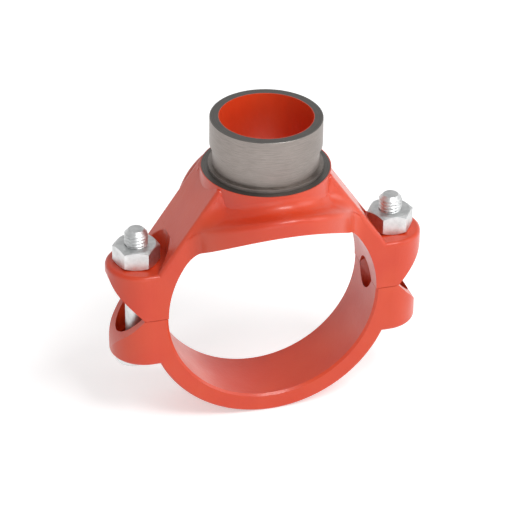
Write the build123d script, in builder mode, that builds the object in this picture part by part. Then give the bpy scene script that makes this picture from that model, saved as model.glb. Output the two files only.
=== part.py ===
from build123d import *
from math import cos, radians, sin, sqrt, tan
import os

os.makedirs("parts", exist_ok=True)

# Mechanical tee, DN 100 run with a DN 50 grooved outlet. Millimetres.
# The run pipe's axis is Y, the outlet's axis is +Z, and they cross at the origin.

# ---- run pipe seat -------------------------------------------------------
pipe_od = 114.3              # run pipe, outside
pipe_clearance = 1.4         # radial room between the pipe and the castings
band_width = 38.4            # arms, strap and ears, along the pipe
strap_wall = 10.6
saddle_wall = 9.8
pad_gap = 0.3                # between the two castings' mating pads
saddle_r = 48.0              # round saddle about the outlet axis
saddle_blend = 10.0          # radius in plan between the saddle and each arm
saddle_edge = 3.5            # rounding of its upper edge
hole_clearance = 1.0         # radial room of the collar in the hole cut in the pipe
pipe_hole_d = 64.0

# ---- outlet --------------------------------------------------------------
outlet_od = 60.3
outlet_bore = 50.3
outlet_height = 105.5        # rim above the run pipe's axis
land_length = 15.9           # rim to groove
groove_d = 57.15
neck_ring_d = 61.8           # small machined step under the groove
neck_ring_height = 2.0
shoulder_d = 68.8            # machined ledge at the foot of the neck
shoulder_drop = 29.6         # rim to ledge
rim_chamfer = 0.3
boss_draft = 3.0             # degrees, the cast boss widens going down
collar_reach = 4.5           # locating collar, past the pipe's outer surface
ledge_thickness = 1.2        # machined band under the ledge, above the arms
ledge_overhang = 0.6         # cast boss beyond the ledge

# ---- arms and ears -------------------------------------------------------
bolt_x = 71.45               # bolt axis from the outlet's
seat_z = 27.5                # nut seat above the parting plane
head_z = 28.6                # bolt head seat below it
upper_ear_end = 16.8         # end of each upper ear, beyond the bolt's axis
lower_ear_end = 15.2         # end of each lower ear, beyond the bolt's axis
upper_vee_angle = 47.0       # rise of the ear's outer face from its pad, degrees
lower_vee_angle = 50.0
vee_blend = 20.0             # radius that turns that face upright
ramp_foot = 7.6              # where the arm leaves the nut seat, inboard of the bolt
ramp_angle = 55.5            # arm above horizontal, degrees
ear_wall = 4.1               # cup wall round the bolt pocket at its mouth
pocket_mouth_inset = 1.9     # centre of the pocket's mouth, inboard of the bolt
pocket_floor_r = 10.8
pocket_floor_offset = 0.4    # centre of its floor, outboard of the bolt
seat_plate = 10.0            # thickness of the plate under a nut or over a head
wrench_r = 18.0              # wrench clearance cut into the arm round the nut
hole_d = 14.2                # nut-side bolt hole
neck_clearance = 0.35        # oval bolt neck in its hole, each side

# ---- bolts and nuts, 1/2 in. by 13 threads per inch ----------------------
bolt_d = 12.7
pitch = 25.4 / 13
nut_af = 22.2
nut_height = 10.9
bolt_stand_out = 8.8         # bolt end above the nut
thread_play = 0.03           # radial, nut on bolt
head_length = 24.0
head_width = 17.5
head_height = 6.8
head_rounding = 3.0
head_clearance = 0.8         # bolt head from the strap
bolt_end_chamfer = 2.2
oval_length = 18.0           # oval neck across the ear
oval_height = 7.0

# ---- gasket --------------------------------------------------------------
gasket_pocket_r = 43.9
gasket_depth = 7.0           # gasket pocket, up from the pipe's surface
gasket_play = 0.3

# ---- edges ---------------------------------------------------------------
arm_edge = 2.5               # long edges of the arms
seat_edge = 2.2              # rim of each nut seat
ear_base_edge = 2.0          # under side of each lower ear
recess_edge = 0.8            # mouth of the wrench recess
strap_edge = 1.6             # outside edges of the strap
boss_fillet = 6.0            # foot of the boss
band_chamfer = 1.2           # inside edges of the strap

run_bore_r = pipe_od / 2 + pipe_clearance
half_width = band_width / 2
strap_outer_r = run_bore_r + strap_wall
saddle_top_r = run_bore_r + saddle_wall
shoulder_z = outlet_height - shoulder_drop
groove_top_z = outlet_height - land_length
pocket_mouth_r = half_width - ear_wall
nut_top_z = seat_z + nut_height
nut_corner_r = nut_af / sqrt(3) + 0.05
nut_face_r = nut_af / 2 * 0.96
nut_corner_drop = (nut_corner_r - nut_face_r) * tan(radians(30))
bolt_top_z = nut_top_z + bolt_stand_out
upper_reach = bolt_x + upper_ear_end
lower_reach = bolt_x + lower_ear_end
sides = {"right": 1, "left": -1}
nut_turns = {"right": -5.0, "left": -13.0}   # degrees, how each nut's flats came to rest


def ear_profile(reach, height, vee_angle):
    """Closed ear section in the XZ plane, for +X and going up from the pad."""
    lean = radians(vee_angle)
    bend_x = reach - vee_blend * (1 - sin(lean))
    bend_z = (bend_x - bolt_x) * tan(lean)
    top_z = bend_z + vee_blend * cos(lean)
    middle_turn = (lean + radians(90)) / 2
    middle = (reach - vee_blend * (1 - sin(middle_turn)), top_z - vee_blend * cos(middle_turn))
    # flat pad, leaning face, blend, upright end, seat
    Polyline((run_bore_r, 0), (bolt_x, 0), (bend_x, bend_z))
    ThreePointArc((bend_x, bend_z), middle, (reach, top_z))
    Polyline((reach, top_z), (reach, height), (run_bore_r, height), (run_bore_r, 0))


def bolt_pocket(side, floor_z):
    """Leaning round cup round a bolt, widest at the parting plane."""
    with BuildPart() as pocket:
        with BuildSketch(Plane.XY):
            with Locations((side * (bolt_x - pocket_mouth_inset), 0)):
                Circle(pocket_mouth_r)
        with BuildSketch(Plane.XY.offset(floor_z)):
            with Locations((side * (bolt_x + pocket_floor_offset), 0)):
                Circle(pocket_floor_r)
        loft()
    return pocket.part


# ---- saddle and boss, before they meet the arms --------------------------
boss_r = shoulder_d / 2 + ledge_overhang
boss_foot_z = pipe_od / 2 - collar_reach
boss_foot_r = boss_r + (shoulder_z - boss_foot_z) * tan(radians(boss_draft))
corner_x = sqrt(saddle_r ** 2 - half_width ** 2)

with BuildPart() as saddle:
    # round in plan, and blended into the sides of the arms
    with BuildSketch(Plane.XY) as saddle_plan:
        Circle(saddle_r)
        Rectangle(2 * (corner_x + saddle_blend), band_width)
        fillet(saddle_plan.vertices().filter_by(lambda v: abs(abs(v.X) - corner_x) < 0.1),
               radius=saddle_blend)
    extrude(amount=saddle_top_r + saddle_edge)
    with BuildSketch(Plane.XZ):
        Circle(saddle_top_r)
    extrude(amount=saddle_r * 2, both=True, mode=Mode.INTERSECT)
    fillet(saddle.edges().filter_by(GeomType.BSPLINE), radius=saddle_edge)
    with BuildSketch(Plane.XZ):
        Polygon((0, boss_foot_z), (boss_foot_r, boss_foot_z), (boss_r, shoulder_z),
                (0, shoulder_z), align=None)
    revolve(axis=Axis.Z)
    boss_root = saddle.edges().filter_by(GeomType.BSPLINE).filter_by(
        lambda e: abs(e.bounding_box().max.X - boss_r) < 2)
    fillet(boss_root, radius=boss_fillet)

# ---- gasket pocket and locating collar -----------------------------------
collar_r = pipe_hole_d / 2 - hole_clearance
collar_tip_r = pipe_od / 2 - collar_reach
pocket_roof_r = pipe_od / 2 + gasket_depth

with BuildPart() as gasket_room:
    with BuildSketch(Plane.XY):
        Circle(gasket_pocket_r)
    extrude(amount=outlet_height)
    with BuildSketch(Plane.XZ):
        Circle(pocket_roof_r)
    extrude(amount=saddle_r, both=True, mode=Mode.INTERSECT)

with BuildPart() as collar:
    with BuildSketch(Plane.XY):
        Circle(collar_r)
    extrude(amount=shoulder_z)
    with BuildSketch(Plane.XZ):
        Circle(collar_tip_r)
    extrude(amount=saddle_r, both=True, mode=Mode.SUBTRACT)

# ---- outlet housing ------------------------------------------------------
ramp_foot_x = bolt_x - ramp_foot
ramp_top_z = shoulder_z - ledge_thickness
ramp_top_x = ramp_foot_x - (ramp_top_z - seat_z) / tan(radians(ramp_angle))

with BuildPart() as outlet_housing:
    # arms and ears in one front outline, as wide as the band
    with BuildSketch(Plane.XZ):
        with BuildLine():
            Polyline((0, 0), (ramp_foot_x, 0), (ramp_foot_x, seat_z),
                     (ramp_top_x, ramp_top_z), (0, ramp_top_z), (0, 0))
        make_face()
        with BuildLine():
            ear_profile(upper_reach, seat_z, upper_vee_angle)
        make_face()
        mirror(about=Plane.YZ)
    extrude(amount=half_width, both=True)
    # the ears are round in plan
    with BuildSketch(Plane.XY):
        SlotOverall(2 * upper_reach, band_width)
    extrude(amount=outlet_height, mode=Mode.INTERSECT)
    # wrench room round each nut, cut into the foot of the arm
    with BuildSketch(Plane.XY.offset(seat_z)):
        with Locations((bolt_x, 0), (-bolt_x, 0)):
            Circle(wrench_r)
    extrude(amount=outlet_height - seat_z, mode=Mode.SUBTRACT)
    ramp_sides = outlet_housing.edges().filter_by(
        lambda e: e.length > band_width / 2 and e.center().Z > seat_z + 1
        and abs(abs(e.center().Y) - half_width) < 0.1)
    fillet(ramp_sides, radius=arm_edge)
    seat_rims = outlet_housing.edges().filter_by(
        lambda e: abs(e.center().Z - seat_z) < 0.1 and (abs(e.center().X) > bolt_x + 5
        or abs(abs(e.center().Y) - half_width) < 0.1))
    fillet(seat_rims, radius=seat_edge)
    recess_mouths = outlet_housing.edges().filter_by(
        lambda e: e.center().Z > seat_z + 2 and abs(e.center().X) < ramp_foot_x
        and e.geom_type in (GeomType.ELLIPSE, GeomType.BSPLINE))
    fillet(recess_mouths, radius=recess_edge)
    # saddle and boss
    add(saddle.part)
    # run pipe seat, gasket pocket and locating collar
    with BuildSketch(Plane.XZ):
        Circle(run_bore_r)
    extrude(amount=2 * saddle_r, both=True, mode=Mode.SUBTRACT)
    add(gasket_room.part, mode=Mode.SUBTRACT)
    add(collar.part)
    # machined neck: ledge, step, groove and land
    with BuildSketch(Plane.XZ):
        with BuildLine():
            Polyline((0, ramp_top_z), (shoulder_d / 2, ramp_top_z), (shoulder_d / 2, shoulder_z),
                     (neck_ring_d / 2, shoulder_z), (neck_ring_d / 2, shoulder_z + neck_ring_height),
                     (groove_d / 2, shoulder_z + neck_ring_height), (groove_d / 2, groove_top_z),
                     (outlet_od / 2, groove_top_z), (outlet_od / 2, outlet_height - rim_chamfer),
                     (outlet_od / 2 - rim_chamfer, outlet_height), (0, outlet_height),
                     (0, ramp_top_z))
        make_face()
    revolve(axis=Axis.Z)
    with Locations(Location((0, 0, outlet_height))):
        Hole(outlet_bore / 2, depth=outlet_height)
    # bolt pockets and holes
    for side in sides.values():
        add(bolt_pocket(side, seat_z - seat_plate), mode=Mode.SUBTRACT)
        with Locations(Location((side * bolt_x, 0, seat_z))):
            Hole(hole_d / 2, depth=seat_z)
outlet_housing.part.label = "outlet_housing"

# ---- strap housing -------------------------------------------------------
# ears, as wide as the strap and round in plan
with BuildPart() as strap_ears:
    with BuildSketch(Plane.XZ):
        with BuildLine():
            ear_profile(lower_reach, head_z, lower_vee_angle)
        make_face()
        mirror(about=Plane.YZ)
        mirror(about=Plane.XZ, mode=Mode.REPLACE)
    extrude(amount=half_width, both=True)
    with BuildSketch(Plane.XY):
        SlotOverall(2 * lower_reach, band_width)
    extrude(amount=-outlet_height, mode=Mode.INTERSECT)
    ear_undersides = strap_ears.edges().filter_by(
        lambda e: abs(e.center().Z + head_z) < 0.1 and abs(e.center().X) > run_bore_r + 1)
    fillet(ear_undersides, radius=ear_base_edge)

with BuildPart() as strap_housing:
    with BuildSketch(Plane.XZ):
        Circle(strap_outer_r)
    extrude(amount=half_width, both=True)
    fillet(strap_housing.edges().filter_by(GeomType.CIRCLE), radius=strap_edge)
    add(strap_ears.part)
    with BuildSketch(Plane.XY.offset(-pad_gap)):
        Rectangle(2 * upper_reach, band_width)
    extrude(amount=outlet_height, mode=Mode.SUBTRACT)
    with BuildSketch(Plane.XZ):
        Circle(run_bore_r)
    extrude(amount=half_width, both=True, mode=Mode.SUBTRACT)
    band_rims = strap_housing.edges().filter_by(
        lambda e: e.geom_type == GeomType.CIRCLE and abs(e.radius - run_bore_r) < 0.01
        and e.length > run_bore_r)
    chamfer(band_rims, length=band_chamfer)
    for side in sides.values():
        add(bolt_pocket(side, seat_plate - head_z), mode=Mode.SUBTRACT)
        with BuildSketch(Plane.XY.offset(-head_z)):
            with Locations((side * bolt_x, 0)):
                SlotOverall(oval_length + 2 * neck_clearance, bolt_d + 2 * neck_clearance)
        extrude(amount=seat_plate + 1, mode=Mode.SUBTRACT)
        # room for the bolt head beside the strap
        with BuildSketch(Plane.XY.offset(-head_z)):
            with Locations((side * bolt_x, 0)):
                SlotOverall(head_length + 2 * head_clearance, head_width + 2 * head_clearance)
        extrude(amount=-outlet_height, mode=Mode.SUBTRACT)
strap_housing.part.label = "strap_housing"

# ---- gasket --------------------------------------------------------------
with BuildPart() as gasket:
    with BuildSketch(Plane.XY):
        Circle(gasket_pocket_r - gasket_play)
        Circle(collar_r + gasket_play, mode=Mode.SUBTRACT)
    extrude(amount=outlet_height)
    with BuildSketch(Plane.XZ):
        Circle(pocket_roof_r - gasket_play)
    extrude(amount=saddle_r, both=True, mode=Mode.INTERSECT)
    with BuildSketch(Plane.XZ):
        Circle(pipe_od / 2)
    extrude(amount=saddle_r, both=True, mode=Mode.SUBTRACT)
gasket.part.label = "gasket"

# ---- bolts and nuts ------------------------------------------------------
for name, side in sides.items():
    with BuildPart() as bolt:
        with BuildSketch(Plane.XY.offset(-head_z)):
            with Locations((side * bolt_x, 0)):
                SlotOverall(head_length, head_width)
        extrude(amount=-head_height)
        fillet(bolt.faces().sort_by(Axis.Z)[0].edges(), radius=head_rounding)
        with BuildSketch(Plane.XY.offset(-head_z)):
            with Locations((side * bolt_x, 0)):
                SlotOverall(oval_length, bolt_d)
        extrude(amount=oval_height)
        with BuildSketch(Plane.XY.offset(-head_z)):
            with Locations((side * bolt_x, 0)):
                Circle(bolt_d / 2)
        extrude(amount=head_z + bolt_top_z)
        chamfer(bolt.faces().sort_by(Axis.Z)[-1].edges(), length=bolt_end_chamfer)
    bolt.part.label = f"bolt_{name}"
    export_step(bolt.part, f"parts/bolt_{name}.step")

    with BuildPart() as nut:
        with BuildSketch(Plane.XY.offset(seat_z)):
            with Locations((side * bolt_x, 0)):
                RegularPolygon(nut_af / 2, 6, major_radius=False, rotation=nut_turns[name])
        extrude(amount=nut_height)
        # chamfered corners, both ends
        with BuildSketch(Plane.XZ):
            with Locations((side * bolt_x, seat_z)):
                Polygon((0, 0), (nut_face_r, 0), (nut_corner_r, nut_corner_drop),
                        (nut_corner_r, nut_height - nut_corner_drop), (nut_face_r, nut_height),
                        (0, nut_height), align=None)
        revolve(axis=Axis((side * bolt_x, 0, 0), (0, 0, 1)), mode=Mode.INTERSECT)
        with Locations(Location((side * bolt_x, 0, seat_z + nut_height))):
            Hole(bolt_d / 2 + thread_play, depth=nut_height)
    nut.part.label = f"nut_{name}"
    export_step(nut.part, f"parts/nut_{name}.step")

for piece in (outlet_housing, strap_housing, gasket):
    export_step(piece.part, f"parts/{piece.part.label}.step")
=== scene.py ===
import math

import bpy
import numpy as np
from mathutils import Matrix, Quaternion, Vector
from mathutils.bvhtree import BVHTree


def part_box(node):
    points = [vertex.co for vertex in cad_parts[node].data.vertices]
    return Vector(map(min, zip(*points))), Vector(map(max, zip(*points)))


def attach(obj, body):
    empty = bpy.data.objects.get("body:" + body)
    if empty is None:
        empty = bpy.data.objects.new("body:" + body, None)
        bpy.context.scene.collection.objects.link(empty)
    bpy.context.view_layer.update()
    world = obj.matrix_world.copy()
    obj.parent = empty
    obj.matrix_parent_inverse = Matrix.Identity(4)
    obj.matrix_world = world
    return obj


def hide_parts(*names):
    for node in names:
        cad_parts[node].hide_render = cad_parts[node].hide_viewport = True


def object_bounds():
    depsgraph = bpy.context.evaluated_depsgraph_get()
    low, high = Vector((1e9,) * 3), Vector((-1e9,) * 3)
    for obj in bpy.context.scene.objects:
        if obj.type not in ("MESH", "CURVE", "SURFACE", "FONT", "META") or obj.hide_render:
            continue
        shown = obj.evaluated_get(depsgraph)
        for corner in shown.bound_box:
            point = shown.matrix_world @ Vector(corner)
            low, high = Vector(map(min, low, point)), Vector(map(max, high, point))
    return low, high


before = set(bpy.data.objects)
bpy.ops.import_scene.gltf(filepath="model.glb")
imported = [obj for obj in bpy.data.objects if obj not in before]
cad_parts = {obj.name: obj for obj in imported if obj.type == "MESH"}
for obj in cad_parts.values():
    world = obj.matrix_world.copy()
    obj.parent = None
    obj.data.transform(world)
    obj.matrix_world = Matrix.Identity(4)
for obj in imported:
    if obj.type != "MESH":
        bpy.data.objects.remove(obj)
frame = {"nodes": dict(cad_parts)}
cad_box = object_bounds()

bl_info = {
    "name": "Mechanical tee",
    "version": (1, 0, 0),
    "blender": (4, 5, 0),
    "location": "3D View > Sidebar > Mechanical tee",
    "description": "Threaded track bolts, paint, machined neck and stage for a mechanical tee",
    "category": "Object",
}

MM = 0.001
SIDES = ("left", "right")
SIDES_ROUND = 64
ROWS_PER_PITCH = 10

housing_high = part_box("outlet_housing")[1]
nut_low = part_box("nut_right")[0]
bolt_low, bolt_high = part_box("bolt_right")
RIM_Z = housing_high.z
LEDGE_Z = RIM_Z - 29.6 * MM
# the paint stops here on the boss, on the ledge's edge and inside the rim
MACHINED_Z = LEDGE_Z - 1.2 * MM
LEDGE_R = 34.47 * MM
RIM_R = 25.4 * MM
BOSS_R = 35.1 * MM
# the quarter of the saddle that one arm blend may cover
BLEND_X = (20 * MM, 52 * MM)
BLEND_Y = (12 * MM, 56 * MM)
BLEND_MARGIN = 8 * MM
SEAT_MARGIN = 8 * MM

# name, place, size of the lit rectangle, watts
LAMPS = (("key_lamp", (0.35, -0.75, 1.25), (0.6, 0.45), 9.0),
         ("side_lamp", (1.5, -0.6, 0.8), (0.9, 0.9), 5.5),
         ("front_lamp", (-0.25, -1.9, 0.25), (1.2, 0.8), 3.5))
LAMP_AIM = Vector((0, 0, 0.02))
FRAME_WIDTH = 510
LENS_SHIFT = (-9.4065 / FRAME_WIDTH, -16.542 / FRAME_WIDTH)
SENSOR_WIDTH = 36


def length(name, description, default):
    """A size property in metres."""
    return bpy.props.FloatProperty(name=name, description=description, default=default,
                                   min=0, unit="LENGTH", precision=5)


def colour(name, description, default):
    """A linear RGB colour property."""
    return bpy.props.FloatVectorProperty(name=name, description=description, default=default,
                                         size=3, min=0, max=1, subtype="COLOR")


def factor(name, description, default):
    """A property from 0 to 1."""
    return bpy.props.FloatProperty(name=name, description=description, default=default,
                                   min=0, max=1, subtype="FACTOR")


class BoltSizes(bpy.types.PropertyGroup):
    """Sizes of the track bolts."""
    diameter: length("Diameter", "Outside diameter of shank and thread", 12.7 * MM)
    pitch: length("Pitch", "Advance of the thread in one turn", 25.4 / 13 * MM)
    thread_depth: length("Thread depth", "Crest to root", 0.95 * MM)
    thread_start: length("Thread start", "Height above the parting plane where it begins", 6 * MM)
    end_chamfer: length("End chamfer", "Chamfer at the threaded end", 2.2 * MM)
    head_length: length("Head length", "Across the ear", 24.0 * MM)
    head_width: length("Head width", "Along the run pipe", 17.5 * MM)
    head_height: length("Head height", "Thickness of the head", 6.8 * MM)
    head_rounding: length("Head rounding", "Rounded edge of the head", 2.8 * MM)
    oval_length: length("Oval length", "Neck under the head, across the ear", 18.0 * MM)
    oval_height: length("Oval height", "Height of the oval neck", 7.0 * MM)


class BlendSizes(bpy.types.PropertyGroup):
    """Sizes of the soft corners between the arms and the saddle."""
    radius: length("Radius", "Radius of the concave blend", 9.0 * MM)
    step: length("Step", "Spacing of the points that shape it", 0.4 * MM)
    sink: length("Sink", "How far its edges lie under the casting's skin", 0.015 * MM)
    depth: length("Depth", "Thickness of the blend into the casting", 1.0 * MM)


class Finishes(bpy.types.PropertyGroup):
    """Colours and roughness of the finishes."""
    paint: colour("Paint", "Orange-red enamel", (0.71, 0.064, 0.014))
    paint_shade: colour("Paint in hollows", "Paint where it lies thick", (0.66, 0.044, 0.011))
    paint_roughness: factor("Paint roughness", "Roughness of the enamel", 0.34)
    paint_coat: factor("Paint coat", "Share of clear gloss over the enamel", 0.28)
    machined: colour("Machined iron", "Turned neck", (0.315, 0.280, 0.258))
    # painted shade: the level rim and ledge tops get a darker colour than the turned neck, in
    # place of the dark reflection they show
    machined_tops_shade: colour("Machined faces", "Faced rim and ledge", (0.165, 0.155, 0.145))
    machined_roughness: factor("Machined roughness", "Roughness of the turned iron", 0.42)
    zinc: colour("Zinc", "Bright zinc plating", (0.76, 0.77, 0.77))
    zinc_roughness: factor("Zinc roughness", "Roughness of the plating", 0.42)
    rubber: colour("Rubber", "Gasket rubber", (0.012, 0.012, 0.013))


class StageSizes(bpy.types.PropertyGroup):
    """Camera, lamps and floor."""
    camera_azimuth: bpy.props.FloatProperty(
        name="Camera azimuth", description="Turn of the camera about the outlet axis",
        default=math.radians(-16.996), subtype="ANGLE")
    camera_elevation: bpy.props.FloatProperty(
        name="Camera elevation", description="Height of the camera above level",
        default=math.radians(30.985), subtype="ANGLE")
    camera_roll: bpy.props.FloatProperty(
        name="Camera roll", description="Turn of the camera about its own axis",
        default=math.radians(0.96), subtype="ANGLE")
    camera_distance: length("Camera distance", "From the point it looks at", 1.5)
    target_height: length("Target height", "Point the camera looks at", 0.030)
    lens: bpy.props.FloatProperty(name="Lens", description="Focal length in millimetres",
                                  default=2773.12 / FRAME_WIDTH * SENSOR_WIDTH)
    floor_size: length("Floor size", "Side of the square floor", 12.0)


# ---- helpers -------------------------------------------------------------
def deselect_all():
    """Leaves nothing selected and nothing active."""
    if bpy.context.object and bpy.context.object.mode != "OBJECT":
        bpy.ops.object.mode_set(mode="OBJECT")
    bpy.ops.object.select_all(action="DESELECT")


def only(obj):
    """Makes obj the one selected, active object."""
    deselect_all()
    obj.select_set(True)
    bpy.context.view_layer.objects.active = obj


def settle(obj):
    """Puts obj's place into its mesh."""
    only(obj)
    bpy.ops.object.transform_apply(location=True, rotation=True, scale=True)


def cylinder(name, radius, low_z, high_z):
    """A closed upright cylinder about Z, with no corner on the YZ plane."""
    deselect_all()
    bpy.ops.mesh.primitive_cylinder_add(vertices=SIDES_ROUND, radius=radius,
                                        depth=high_z - low_z,
                                        location=(0, 0, (low_z + high_z) / 2),
                                        rotation=(0, 0, math.pi / SIDES_ROUND))
    obj = bpy.context.object
    obj.name = name
    settle(obj)
    return obj


def select_edges(obj, test):
    """Selects the edges whose two ends both pass test, in edit mode afterwards."""
    only(obj)
    bpy.ops.object.mode_set(mode="EDIT")
    bpy.ops.mesh.select_all(action="DESELECT")
    bpy.ops.mesh.select_mode(type="EDGE")
    bpy.ops.object.mode_set(mode="OBJECT")
    points = obj.data.vertices
    for edge in obj.data.edges:
        edge.select = all(test(points[i].co) for i in edge.vertices)
    bpy.ops.object.mode_set(mode="EDIT")


def bevel_at(obj, z, width, segments):
    """Bevels the rim of obj at height z."""
    select_edges(obj, lambda co: abs(co.z - z) < 1e-6)
    bpy.ops.mesh.bevel(offset=width, segments=segments, profile=0.5, affect="EDGES",
                       clamp_overlap=True)
    bpy.ops.object.mode_set(mode="OBJECT")


def stretch(obj, amount):
    """Pulls the two halves of obj apart along X, making a slot of a circle."""
    for point in obj.data.vertices:
        point.co.x += math.copysign(amount / 2, point.co.x)


def copy_of(obj, name):
    """A named copy of obj with a mesh of its own."""
    piece = obj.copy()
    piece.data = obj.data.copy()
    piece.name = piece.data.name = name
    bpy.context.collection.objects.link(piece)
    return piece


def smooth(obj, angle):
    """Smooth shading except at edges sharper than angle."""
    only(obj)
    bpy.ops.object.shade_smooth_by_angle(angle=math.radians(angle))


# ---- materials -----------------------------------------------------------
class Nodes:
    """Adds nodes to a node tree and links them."""

    def __init__(self, tree, place="Object"):
        self.tree = tree
        self.place = self.add("ShaderNodeTexCoord").outputs[place]

    def add(self, kind, inputs=None, **values):
        node = self.tree.nodes.new(kind)
        for key, value in values.items():
            setattr(node, key, value)
        for key, value in (inputs or {}).items():
            self.set(node.inputs[key], value)
        return node

    def set(self, socket, value):
        if isinstance(value, bpy.types.NodeSocket):
            self.tree.links.new(value, socket)
        elif hasattr(socket.default_value, "__len__") and len(value) == 3 \
                and len(socket.default_value) == 4:
            socket.default_value = (*value, 1)
        else:
            socket.default_value = value

    def maths(self, operation, a, b=0.0):
        return self.add("ShaderNodeMath", {0: a, 1: b}, operation=operation).outputs[0]

    def noise(self, scale, detail=3.0, roughness=0.5, stretch_by=(1, 1, 1)):
        place = self.add("ShaderNodeMapping", {"Vector": self.place, "Scale": stretch_by})
        return self.add("ShaderNodeTexNoise", {"Vector": place.outputs[0], "Scale": scale,
                        "Detail": detail, "Roughness": roughness}).outputs["Fac"]

    def spread(self, value, low, high, to_low=0.0, to_high=1.0):
        return self.add("ShaderNodeMapRange", {"Value": value, "From Min": low, "From Max": high,
                        "To Min": to_low, "To Max": to_high}).outputs["Result"]

    def mix(self, share, a, b):
        node = self.add("ShaderNodeMix", data_type="RGBA")
        self.set(node.inputs["Factor"], share)
        self.set(node.inputs[6], a)
        self.set(node.inputs[7], b)
        return node.outputs[2]

    def blend(self, share, a, b):
        node = self.add("ShaderNodeMix", data_type="FLOAT")
        for index, value in ((0, share), (2, a), (3, b)):
            self.set(node.inputs[index], value)
        return node.outputs[0]

    def bump(self, height, strength, distance):
        return self.add("ShaderNodeBump", {"Height": height, "Strength": strength,
                        "Distance": distance}).outputs["Normal"]

    def seen_directly(self):
        """1 for rays from the camera, from gloss and through glass, 0 for the rest."""
        ray = self.add("ShaderNodeLightPath").outputs
        return self.maths("MAXIMUM", ray["Is Transmission Ray"],
                          self.maths("MAXIMUM", ray["Is Camera Ray"], ray["Is Glossy Ray"]))


class Surface(Nodes):
    """The nodes of a new material."""

    def __init__(self, name):
        self.material = bpy.data.materials.get(name) or bpy.data.materials.new(name)
        self.material.use_nodes = True
        super().__init__(self.material.node_tree)

    def finish(self, **inputs):
        """Sets or links the shader's inputs and returns the material."""
        shader = self.tree.nodes["Principled BSDF"]
        for key, value in inputs.items():
            self.set(shader.inputs[key.replace("_", " ")], value)
        return self.material


def scaled(tone, share):
    """A colour made lighter or darker."""
    return tuple(part * share for part in tone)


def paint_parts(nodes, finish):
    """Colour, roughness and height of the enamel: cast skin under a glossy coat."""
    patches = nodes.noise(28.0, 2.0)
    colour_of = nodes.mix(nodes.spread(patches, 0.35, 0.7), tuple(finish.paint),
                          tuple(finish.paint_shade))
    skin = nodes.noise(420.0, 4.0, 0.6)
    grains = nodes.noise(1500.0, 2.0, 0.5)
    height = nodes.maths("ADD", skin, nodes.maths("MULTIPLY", grains, 0.25))
    rough = nodes.spread(nodes.noise(60.0, 3.0), 0.3, 0.7, finish.paint_roughness - 0.05,
                         finish.paint_roughness + 0.07)
    return colour_of, rough, height


def cast_paint(finish):
    """Orange-red enamel over a cast skin."""
    nodes = Surface("cast_paint")
    colour_of, rough, height = paint_parts(nodes, finish)
    return nodes.finish(Base_Color=colour_of, Roughness=rough, Coat_Weight=finish.paint_coat,
                        Coat_Roughness=0.16, Specular_IOR_Level=0.5,
                        Normal=nodes.bump(height, 0.16, 0.0006))


def painted_with_bare_neck(finish):
    """The same enamel, with the outside of the neck, its rim and its ledge left as turned."""
    nodes = Surface("paint_and_turned_neck")
    colour_of, rough, height = paint_parts(nodes, finish)
    axes = nodes.add("ShaderNodeSeparateXYZ", {0: nodes.place}).outputs
    radius = nodes.maths("SQRT", nodes.maths("ADD", nodes.maths("MULTIPLY", axes[0], axes[0]),
                                             nodes.maths("MULTIPLY", axes[1], axes[1])))
    high = axes[2]
    above = nodes.spread(high, MACHINED_Z - 0.03 * MM, MACHINED_Z + 0.03 * MM)
    outside = nodes.spread(radius, RIM_R - 0.05 * MM, RIM_R + 0.05 * MM)
    within = nodes.spread(radius, LEDGE_R + 0.05 * MM, LEDGE_R - 0.05 * MM)
    bare = nodes.maths("MULTIPLY", above, nodes.maths("MULTIPLY", outside, within))
    # turning marks run round the neck and across the faces
    marks = nodes.noise(1.0, 3.0, 0.6, (160.0, 160.0, 5200.0))
    rings = nodes.add("ShaderNodeCombineXYZ", {0: radius, 2: high}).outputs[0]
    face_marks = nodes.add("ShaderNodeTexNoise", {"Vector": rings, "Scale": 2600.0,
                           "Detail": 2.0}).outputs["Fac"]
    stain = nodes.noise(55.0, 4.0, 0.6)
    turned = nodes.mix(nodes.spread(marks, 0.35, 0.65), scaled(finish.machined, 0.80),
                       scaled(finish.machined, 1.14))
    turned = nodes.mix(nodes.spread(stain, 0.45, 0.75, 0.0, 0.35), turned,
                       scaled(finish.machined, 0.72))
    # the rim and ledge tops take the darker colour as painted shade, standing in for the dark
    # reflection of level metal faces
    shaded_faces = nodes.mix(nodes.spread(face_marks, 0.35, 0.65), scaled(finish.machined_tops_shade, 0.85),
                      scaled(finish.machined_tops_shade, 1.2))
    top_faces = nodes.maths("MAXIMUM",
                            nodes.spread(high, LEDGE_Z + 0.12 * MM, LEDGE_Z + 0.08 * MM),
                            nodes.spread(high, RIM_Z - 0.25 * MM, RIM_Z - 0.20 * MM))
    metal = nodes.mix(top_faces, turned, shaded_faces)
    metal_rough = nodes.spread(marks, 0.3, 0.7, finish.machined_roughness - 0.06,
                               finish.machined_roughness + 0.08)
    metal_height = nodes.maths("ADD", nodes.maths("MULTIPLY", marks, 0.4),
                               nodes.maths("MULTIPLY", face_marks, 0.3))
    return nodes.finish(Base_Color=nodes.mix(bare, colour_of, metal),
                        Roughness=nodes.blend(bare, rough, metal_rough),
                        Metallic=bare, Coat_Roughness=0.16,
                        Coat_Weight=nodes.blend(bare, finish.paint_coat, 0.0),
                        Normal=nodes.bump(nodes.blend(bare, height, metal_height), 0.16, 0.0006))


def bright_zinc(finish):
    """Bright zinc plating with faint drawing marks and dull patches."""
    nodes = Surface("bright_zinc")
    patches = nodes.noise(240.0, 3.0, 0.6)
    zinc = nodes.mix(nodes.spread(patches, 0.35, 0.7), tuple(finish.zinc),
                     scaled(finish.zinc, 0.78))
    rough = nodes.spread(nodes.noise(700.0, 2.0), 0.3, 0.7, finish.zinc_roughness - 0.05,
                         finish.zinc_roughness + 0.10)
    return nodes.finish(Base_Color=zinc, Roughness=rough, Metallic=1.0,
                        Normal=nodes.bump(nodes.noise(900.0, 3.0, 0.6), 0.10, 0.0003))


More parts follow.
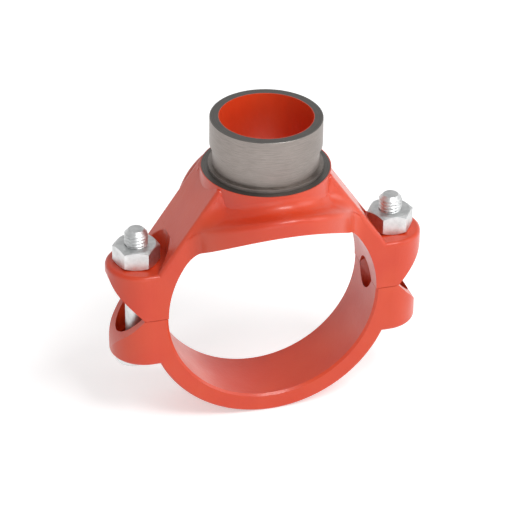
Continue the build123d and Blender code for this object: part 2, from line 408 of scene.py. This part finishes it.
def gasket_rubber(finish):
    """Matt black moulded rubber."""
    nodes = Surface("gasket_rubber")
    rough = nodes.spread(nodes.noise(300.0), 0.3, 0.7, 0.5, 0.68)
    bloom = nodes.mix(nodes.spread(nodes.noise(90.0), 0.4, 0.8), tuple(finish.rubber),
                      scaled(finish.rubber, 2.2))
    return nodes.finish(Base_Color=bloom, Roughness=rough,
                        Normal=nodes.bump(nodes.noise(1200.0), 0.15, 0.0003))


def white_floor():
    """A pale floor that shows white and keeps the shadow."""
    nodes = Surface("white_floor")
    distance = nodes.add("ShaderNodeVectorMath", {0: nodes.place}, operation="LENGTH").outputs[1]
    # glows a little more far off, where the lamps' light falls away
    glow = nodes.spread(distance, 0.3, 1.6, 0.45, 0.9)
    return nodes.finish(Base_Color=(0.86, 0.86, 0.86), Roughness=0.9, Specular_IOR_Level=0.0,
                        Emission_Color=(1.0, 1.0, 1.0),
                        Emission_Strength=nodes.maths("MULTIPLY", nodes.seen_directly(), glow))


def light_world(world):
    """A white sky, greyer overhead, whose soft light is weaker from the left."""
    world.use_nodes = True
    world.node_tree.nodes.clear()
    nodes = Nodes(world.node_tree, "Generated")
    axes = nodes.add("ShaderNodeSeparateXYZ", {0: nodes.place}).outputs
    by_height = nodes.spread(axes[2], 0.05, 0.6, 1.0, 0.50)
    by_side = nodes.spread(axes[0], -0.9, 0.1, 0.55, 1.0)
    shown, soft = (nodes.add("ShaderNodeBackground", {"Color": (1, 1, 1), "Strength": strength})
                   for strength in (by_height, nodes.maths("MULTIPLY", by_height, by_side)))
    mixed = nodes.add("ShaderNodeMixShader", {0: nodes.seen_directly(), 1: soft.outputs[0],
                      2: shown.outputs[0]})
    nodes.add("ShaderNodeOutputWorld", {"Surface": mixed.outputs[0]})


def dress(obj, material):
    """Gives obj this one material."""
    obj.data.materials.clear()
    obj.data.materials.append(material)


# ---- operators -----------------------------------------------------------
class TEE_OT_castings(bpy.types.Operator):
    """Paint the castings, bare the neck and dress the gasket and nuts"""
    bl_idname = "tee.castings"
    bl_label = "Finish castings, gasket and nuts"

    def execute(self, context):
        finish = context.scene.tee_finishes
        nodes = frame["nodes"]
        dress(nodes["outlet_housing"], painted_with_bare_neck(finish))
        dress(nodes["strap_housing"], cast_paint(finish))
        dress(nodes["gasket"], gasket_rubber(finish))
        zinc = bright_zinc(finish)
        for side in SIDES:
            dress(nodes[f"nut_{side}"], zinc)
        return {"FINISHED"}


class TEE_OT_arm_blends(bpy.types.Operator):
    """Fill the corners between arms, saddle and boss with a soft rolled blend"""
    bl_idname = "tee.arm_blends"
    bl_label = "Add arm blends"

    def skin(self, xs, ys):
        """Height of the casting's upper surface over a grid, and -1 where there is none."""
        casting = frame["nodes"]["outlet_housing"]
        tree = BVHTree.FromObject(casting, bpy.context.evaluated_depsgraph_get())
        heights = np.full((len(xs), len(ys)), -1.0)
        for i, x in enumerate(xs):
            for j, y in enumerate(ys):
                place = tree.ray_cast(Vector((x, y, RIM_Z + 10 * MM)), Vector((0, 0, -1)))[0]
                if place and place.z > nut_low.z + SEAT_MARGIN:
                    heights[i, j] = min(place.z, LEDGE_Z)
        return heights

    def rolled(self, heights, radius, step):
        """Heights as a ball of this radius leaves them when it fills each hollow."""
        reach = int(radius / step)
        offsets = [(i, j, math.sqrt(radius ** 2 - (i * i + j * j) * step ** 2))
                   for i in range(-reach, reach + 1) for j in range(-reach, reach + 1)
                   if (i * i + j * j) * step ** 2 < radius ** 2]
        for pick, sign in ((np.maximum, 1), (np.minimum, -1)):
            padded = np.pad(heights, reach, constant_values=-sign)
            rows, columns = heights.shape
            heights = np.full_like(heights, -sign * 10.0)
            for i, j, rise in offsets:
                part = padded[reach + i:reach + i + rows, reach + j:reach + j + columns]
                heights = pick(heights, part + sign * rise)
        return heights

    def shifted(self, values, reach):
        """The grid of values moved by every offset up to reach cells."""
        span = range(-reach, reach + 1)
        return [np.roll(np.roll(values, i, 0), j, 1) for i in span for j in span]

    def shape(self, size):
        """The grid, the blend's height over it, and the cells that the blend keeps."""
        xs = np.arange(BLEND_X[0] - 6 * MM, BLEND_X[1] + 10 * MM, size.step)
        ys = np.arange(BLEND_Y[0] - BLEND_MARGIN, BLEND_Y[1], size.step)
        across, along = xs[:, None], ys[None, :]
        bare = self.skin(xs, ys)
        filled = self.rolled(bare, size.radius, size.step)
        # the blend fades out below the machined face and towards the middle of the saddle
        gain = np.where(bare > 0, filled - bare, 0)
        gain *= np.clip((MACHINED_Z - 0.2 * MM - filled) / (2 * MM), 0, 1)
        gain *= np.clip((across - BLEND_X[0] - 1 * MM) / (9 * MM), 0, 1)
        filled = bare + gain
        # inside the boss it runs on at the height it has just outside
        radius = np.hypot(across, along)
        outward = np.maximum(1, (BOSS_R + 1.5 * size.step) / radius)
        rows = np.rint((across * outward - xs[0]) / size.step).astype(int)
        columns = np.rint((along * outward - ys[0]) / size.step).astype(int)
        filled, gain = (values[np.clip(rows, 0, len(xs) - 1), np.clip(columns, 0, len(ys) - 1)]
                        for values in (filled, gain))
        solid = (filled > 0).astype(float)
        for _ in range(2):
            total, count = (sum(self.shifted(values, 1)) for values in (filled * solid, solid))
            filled = np.where(solid > 0, total / np.maximum(count, 1), 0)
        inside = (bare > 0) & (solid > 0) & (radius > BOSS_R - 1.5 * MM)
        raised = np.any(self.shifted(inside & (gain > 0.03 * MM), 2), axis=0)
        return xs, ys, filled - size.sink, (raised & inside & (across > BLEND_X[0])
                                            & (across < BLEND_X[1]) & (along > BLEND_Y[0]))

    def sheet(self, xs, ys, heights, keep):
        """A surface at these heights over the cells to keep."""
        deselect_all()
        bpy.ops.mesh.primitive_grid_add(x_subdivisions=len(xs) - 1, y_subdivisions=len(ys) - 1,
                                        size=2)
        sheet = bpy.context.object
        dropped = []
        for point in sheet.data.vertices:
            i = round((point.co.x + 1) / 2 * (len(xs) - 1))
            j = round((point.co.y + 1) / 2 * (len(ys) - 1))
            point.co = (xs[i], ys[j], heights[i, j])
            dropped.append(not keep[i, j])
        only(sheet)
        bpy.ops.object.mode_set(mode="EDIT")
        bpy.ops.mesh.select_mode(type="VERT")
        bpy.ops.mesh.select_all(action="DESELECT")
        bpy.ops.object.mode_set(mode="OBJECT")
        sheet.data.vertices.foreach_set("select", dropped)
        bpy.ops.object.mode_set(mode="EDIT")
        bpy.ops.mesh.delete(type="VERT")
        bpy.ops.object.mode_set(mode="OBJECT")
        return sheet

    def execute(self, context):
        size = context.scene.tee_blends
        blend = self.sheet(*self.shape(size))
        thicken = blend.modifiers.new("depth", "SOLIDIFY")
        thicken.thickness = size.depth
        thicken.offset = -1
        bpy.ops.object.modifier_apply(modifier=thicken.name)
        smooth(blend, 60)
        dress(blend, cast_paint(context.scene.tee_finishes))
        for side, x in (("left", -1), ("right", 1)):
            for end, y in (("near", -1), ("far", 1)):
                piece = copy_of(blend, f"arm_blend_{side}_{end}")
                piece.scale = (x, y, 1)
                settle(piece)
                bpy.ops.object.mode_set(mode="EDIT")
                bpy.ops.mesh.select_all(action="SELECT")
                bpy.ops.mesh.normals_make_consistent(inside=False)
                bpy.ops.object.mode_set(mode="OBJECT")
                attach(piece, "housing")
        bpy.data.objects.remove(blend, do_unlink=True)
        return {"FINISHED"}


class TEE_OT_track_bolts(bpy.types.Operator):
    """Model the track bolts with oval necks and rolled threads"""
    bl_idname = "tee.track_bolts"
    bl_label = "Add track bolts"

    def shank(self, size, low_z, high_z):
        """A closed shank from low_z to high_z, with a rolled thread and a chamfered end."""
        rows = round((high_z - low_z) / size.pitch * ROWS_PER_PITCH)
        deselect_all()
        bpy.ops.mesh.primitive_grid_add(x_subdivisions=SIDES_ROUND, y_subdivisions=rows, size=2)
        obj = bpy.context.object
        obj.name = "track_bolt"
        for point in obj.data.vertices:
            turn = (point.co.x + 1) / 2
            z = low_z + (point.co.y + 1) / 2 * (high_z - low_z)
            # sharp flanks with flattened crests, fading in at the thread's start
            phase = (z / size.pitch - turn) % 1
            flank = min(1, max(0, abs(phase - 0.5) * 2 * 1.25 - 0.125))
            fade = min(1, max(0, (z - size.thread_start) / size.pitch))
            radius = size.diameter / 2 - size.thread_depth * flank * fade
            radius = min(radius, size.diameter / 2 - size.end_chamfer + (high_z - z))
            point.co = (radius * math.cos(math.tau * turn), radius * math.sin(math.tau * turn), z)
        only(obj)
        bpy.ops.object.mode_set(mode="EDIT")
        bpy.ops.mesh.select_all(action="SELECT")
        bpy.ops.mesh.remove_doubles(threshold=1e-6)
        bpy.ops.mesh.select_all(action="DESELECT")
        bpy.ops.mesh.select_non_manifold(extend=False)
        bpy.ops.mesh.fill_holes(sides=SIDES_ROUND)
        bpy.ops.mesh.select_all(action="SELECT")
        bpy.ops.mesh.normals_make_consistent(inside=False)
        bpy.ops.object.mode_set(mode="OBJECT")
        return obj

    def execute(self, context):
        size = context.scene.tee_bolts
        seat = bolt_low.z + size.head_height
        bolt = self.shank(size, seat - 0.5 * MM, bolt_high.z)
        # oval neck and oval head
        neck = cylinder("oval_neck", size.diameter / 2, seat - 0.5 * MM, seat + size.oval_height)
        bevel_at(neck, seat + size.oval_height, 0.5 * MM, 2)
        stretch(neck, size.oval_length - size.diameter)
        head = cylinder("oval_head", size.head_width / 2, bolt_low.z, seat)
        bevel_at(head, bolt_low.z, size.head_rounding, 6)
        bevel_at(head, seat, 0.4 * MM, 2)
        stretch(head, size.head_length - size.head_width)
        only(bolt)
        neck.select_set(True)
        head.select_set(True)
        bpy.ops.object.join()
        smooth(bolt, 40)
        zinc = bright_zinc(context.scene.tee_finishes)
        for side in SIDES:
            low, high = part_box(f"bolt_{side}")
            piece = copy_of(bolt, f"track_bolt_{side}")
            piece.location.x = (low.x + high.x) / 2
            settle(piece)
            dress(piece, zinc)
            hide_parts(f"bolt_{side}")
            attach(piece, "strap")
        bpy.data.objects.remove(bolt, do_unlink=True)
        return {"FINISHED"}


class TEE_OT_stage(bpy.types.Operator):
    """Set out the camera, lamps, world and floor"""
    bl_idname = "tee.stage"
    bl_label = "Set the stage"

    def lamp(self, name, place, size, power):
        deselect_all()
        bpy.ops.object.light_add(type="AREA", location=place)
        lamp = bpy.context.object
        lamp.name = name
        lamp.data.shape = "RECTANGLE"
        lamp.data.size, lamp.data.size_y = size
        lamp.data.energy = power
        lamp.rotation_euler = (LAMP_AIM - Vector(place)).to_track_quat("-Z", "Y").to_euler()

    def execute(self, context):
        size = context.scene.tee_stage
        turn, rise = size.camera_azimuth, size.camera_elevation
        back = Vector((math.sin(turn) * math.cos(rise), -math.cos(turn) * math.cos(rise),
                       math.sin(rise)))
        deselect_all()
        bpy.ops.object.camera_add()
        camera = context.object
        camera.name = "camera"
        camera.location = back * size.camera_distance + Vector((0, 0, size.target_height))
        aim = (-back).to_track_quat("-Z", "Y")
        aim.rotate(Quaternion(back, size.camera_roll))
        camera.rotation_euler = aim.to_euler()
        camera.data.lens = size.lens
        camera.data.sensor_width = SENSOR_WIDTH
        camera.data.shift_x, camera.data.shift_y = LENS_SHIFT
        camera.data.clip_end = 50
        context.scene.camera = camera

        for values in LAMPS:
            self.lamp(*values)
        world = context.scene.world or bpy.data.worlds.new("studio")
        context.scene.world = world
        light_world(world)

        deselect_all()
        bpy.ops.mesh.primitive_plane_add(size=size.floor_size, location=(0, 0, cad_box[0][2]))
        floor = context.object
        floor.name = "floor"
        settle(floor)
        dress(floor, white_floor())
        context.scene.view_settings.view_transform = "Standard"
        return {"FINISHED"}


class TEE_PT_panel(bpy.types.Panel):
    """Lists the steps that build the mechanical tee"""
    bl_idname = "TEE_PT_panel"
    bl_label = "Mechanical tee"
    bl_space_type = "VIEW_3D"
    bl_region_type = "UI"
    bl_category = "Mechanical tee"

    def draw(self, context):
        for step in OPERATORS:
            self.layout.operator(step.bl_idname)
        for group in GROUPS:
            box = self.layout.box()
            settings = getattr(context.scene, group)
            for name in settings.__annotations__:
                box.prop(settings, name)


GROUPS = {"tee_bolts": BoltSizes, "tee_blends": BlendSizes, "tee_finishes": Finishes,
          "tee_stage": StageSizes}
OPERATORS = (TEE_OT_castings, TEE_OT_arm_blends, TEE_OT_track_bolts, TEE_OT_stage)


def register():
    """Registers the classes and the scene's property groups."""
    for item in (*GROUPS.values(), *OPERATORS, TEE_PT_panel):
        bpy.utils.register_class(item)
    for name, group in GROUPS.items():
        setattr(bpy.types.Scene, name, bpy.props.PointerProperty(type=group))


def unregister():
    """Takes them away again."""
    for name in GROUPS:
        delattr(bpy.types.Scene, name)
    for item in (TEE_PT_panel, *reversed(OPERATORS), *GROUPS.values()):
        bpy.utils.unregister_class(item)


def main():
    """Builds every piece in order."""
    register()
    bpy.ops.tee.castings()
    bpy.ops.tee.arm_blends()
    bpy.ops.tee.track_bolts()
    bpy.ops.tee.stage()
    bpy.context.view_layer.update()


if __name__ == "__main__":
    main()
